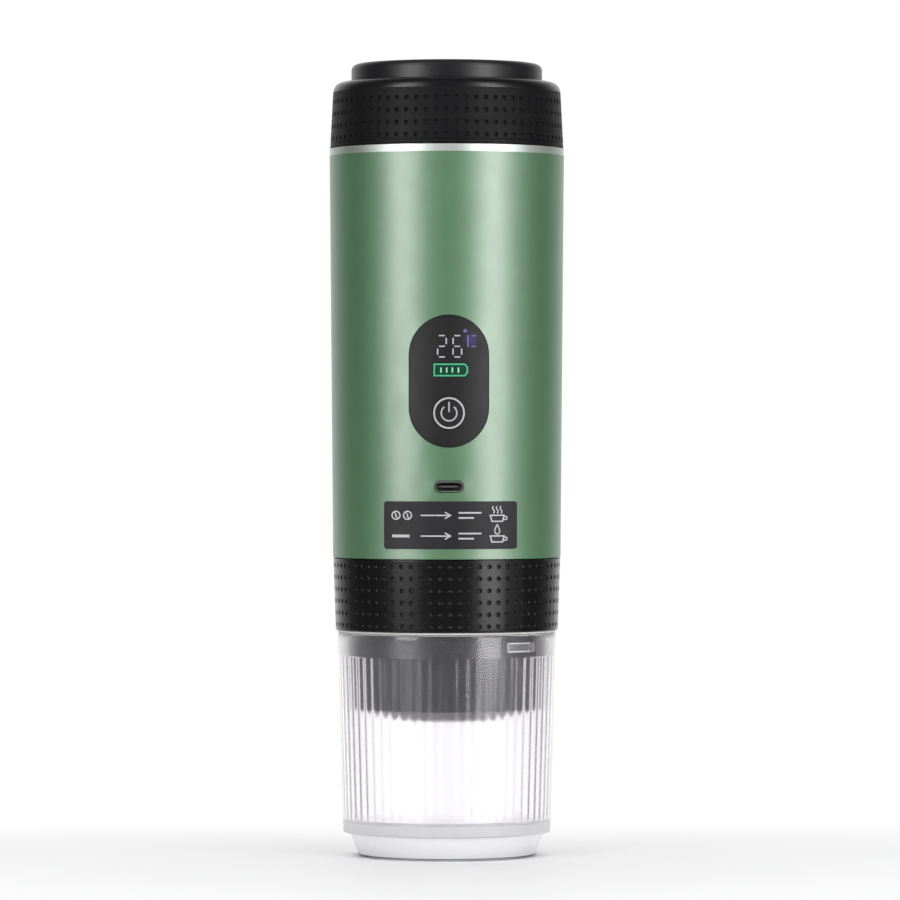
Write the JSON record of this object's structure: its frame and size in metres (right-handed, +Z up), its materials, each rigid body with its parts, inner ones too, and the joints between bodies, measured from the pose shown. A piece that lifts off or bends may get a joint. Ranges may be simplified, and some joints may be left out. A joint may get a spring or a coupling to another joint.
{
  "type": "portable espresso maker",
  "caption": "Hand-held espresso maker with a clear fluted cup, screw-on brew head, tapered metal sleeve with display, power button and charging port, and a screw lid over its water tank.",
  "frame": {"origin": "middle of the cup's foot, on the surface that it stands on", "axes": "+Z up along the maker's axis, -Y towards the front with the display and charging port"},
  "size_m": [0.075, 0.075, 0.2524],
  "materials": {
    "clear_plastic": "polished clear",
    "black_grip": "fine matt, pitted",
    "lid_black": "satin",
    "black_plastic": "satin",
    "smoked_plastic": "gloss dark grey",
    "white_silicone": "matt",
    "grey_silicone": "matt",
    "red_silicone": "matt",
    "hose_silicone": "matt translucent",
    "basket_steel": "pressed and polished",
    "mesh_steel": "etched",
    "tank_steel": "deep drawn",
    "tube_steel": "drawn",
    "shaft_steel": "ground",
    "motor_steel": "zinc plated",
    "port_steel": "nickel plated",
    "screw_steel": "zinc plated",
    "nickel": "nickel strip",
    "green_sleeve": "satin metallic green lacquer",
    "silver_trim": "satin anodised",
    "heater_aluminium": "cast",
    "cell_wrap": null,
    "black_epoxy": "dipped",
    "fuse_body": "ceramic tan",
    "white_plastic": "moulded",
    "pump_plastic": "moulded",
    "board_green": "solder mask",
    "display_glass": "potted display",
    "panel_gloss": "smoked gloss",
    "button_gloss": "smoked gloss",
    "label_film": "printed film",
    "red_lead": "silicone insulation",
    "white_lead": "glass fibre sleeve"
  },
  "bodies": {
    "main_body": {"body_sleeve": "green_sleeve", "trim_ring": "silver_trim", "tank_neck": "black_plastic", "tank_seal": "white_silicone", "water_tank": "tank_steel", "heater_plate": "heater_aluminium", "thermistor": "black_epoxy", "thermal_fuse": "fuse_body", "tank_hose": "hose_silicone", "chassis": "white_plastic", "battery_cell_1": "cell_wrap", "battery_cell_2": "cell_wrap", "battery_cell_3": "cell_wrap", "cell_contacts": "nickel", "control_board": "board_green", "board_screws": "screw_steel", "display_module": "display_glass", "panel_lens": "panel_gloss", "tact_switch": "black_plastic", "usb_port": "port_steel", "info_label": "label_film", "pump_motor": "motor_steel", "pump_mount": "grey_silicone", "pump_head": "pump_plastic", "pump_diaphragm": "grey_silicone", "outlet_tube": "tube_steel", "base_plug": "black_plastic", "base_screws": "screw_steel", "shower_plate": "mesh_steel", "shower_screw": "screw_steel", "motor_leads": "red_lead", "heater_leads": "white_lead"},
    "brew_seal": {"brew_gasket": "red_silicone"},
    "brew_head": {"head_grip_ring": "black_grip", "brew_chamber": "smoked_plastic", "cup_seal": "white_silicone", "coffee_basket": "basket_steel", "filter_screen": "mesh_steel", "outlet_nozzle": "grey_silicone"},
    "cup": {"drinking_cup": "clear_plastic"},
    "pump_shaft": {"pump_rotor": "shaft_steel"},
    "button": {"power_button": "button_gloss"},
    "lid_seal": {"lid_gasket": "red_silicone"},
    "lid": {"lid_shell": "black_grip", "lid_plate": "lid_black", "lid_vent": "white_silicone"}
  },
  "joints": [
    {"name": "lid_turn", "type": "hinge", "parent": "lid_seal", "child": "lid", "pos_m": [0, 0, 0.2254], "axis": [0, 0, 1], "range_deg": [0, 720]},
    {"name": "lid_rise", "type": "slide", "parent": "main_body", "child": "lid_seal", "axis": [0, 0, 1], "range_m": [0, 0.009]},
    {"name": "sleeve_turn", "type": "hinge", "parent": "brew_head", "child": "brew_seal", "pos_m": [0, 0, 0.095], "axis": [0, 0, 1], "range_deg": [0, 720]},
    {"name": "sleeve_rise", "type": "slide", "parent": "brew_seal", "child": "main_body", "axis": [0, 0, 1], "range_m": [0, 0.009]},
    {"name": "cup_pull", "type": "slide", "parent": "cup", "child": "brew_head", "axis": [0, 0, 1], "range_m": [0, 0.035]},
    {"name": "button_press", "type": "slide", "parent": "main_body", "child": "button", "axis": [0, 1, 0], "range_m": [0, 0.0006], "stiffness_N_per_m": 800},
    {"name": "pump_spin", "type": "hinge", "parent": "main_body", "child": "pump_shaft", "pos_m": [0, 0, 0.12], "axis": [0, 0, 1], "continuous": true}
  ],
  "couplings": [
    {"joint": "lid_turn", "follows": "lid_rise", "rad_per_m": 1396.3},
    {"joint": "sleeve_turn", "follows": "sleeve_rise", "rad_per_m": 1396.3}
  ]
}
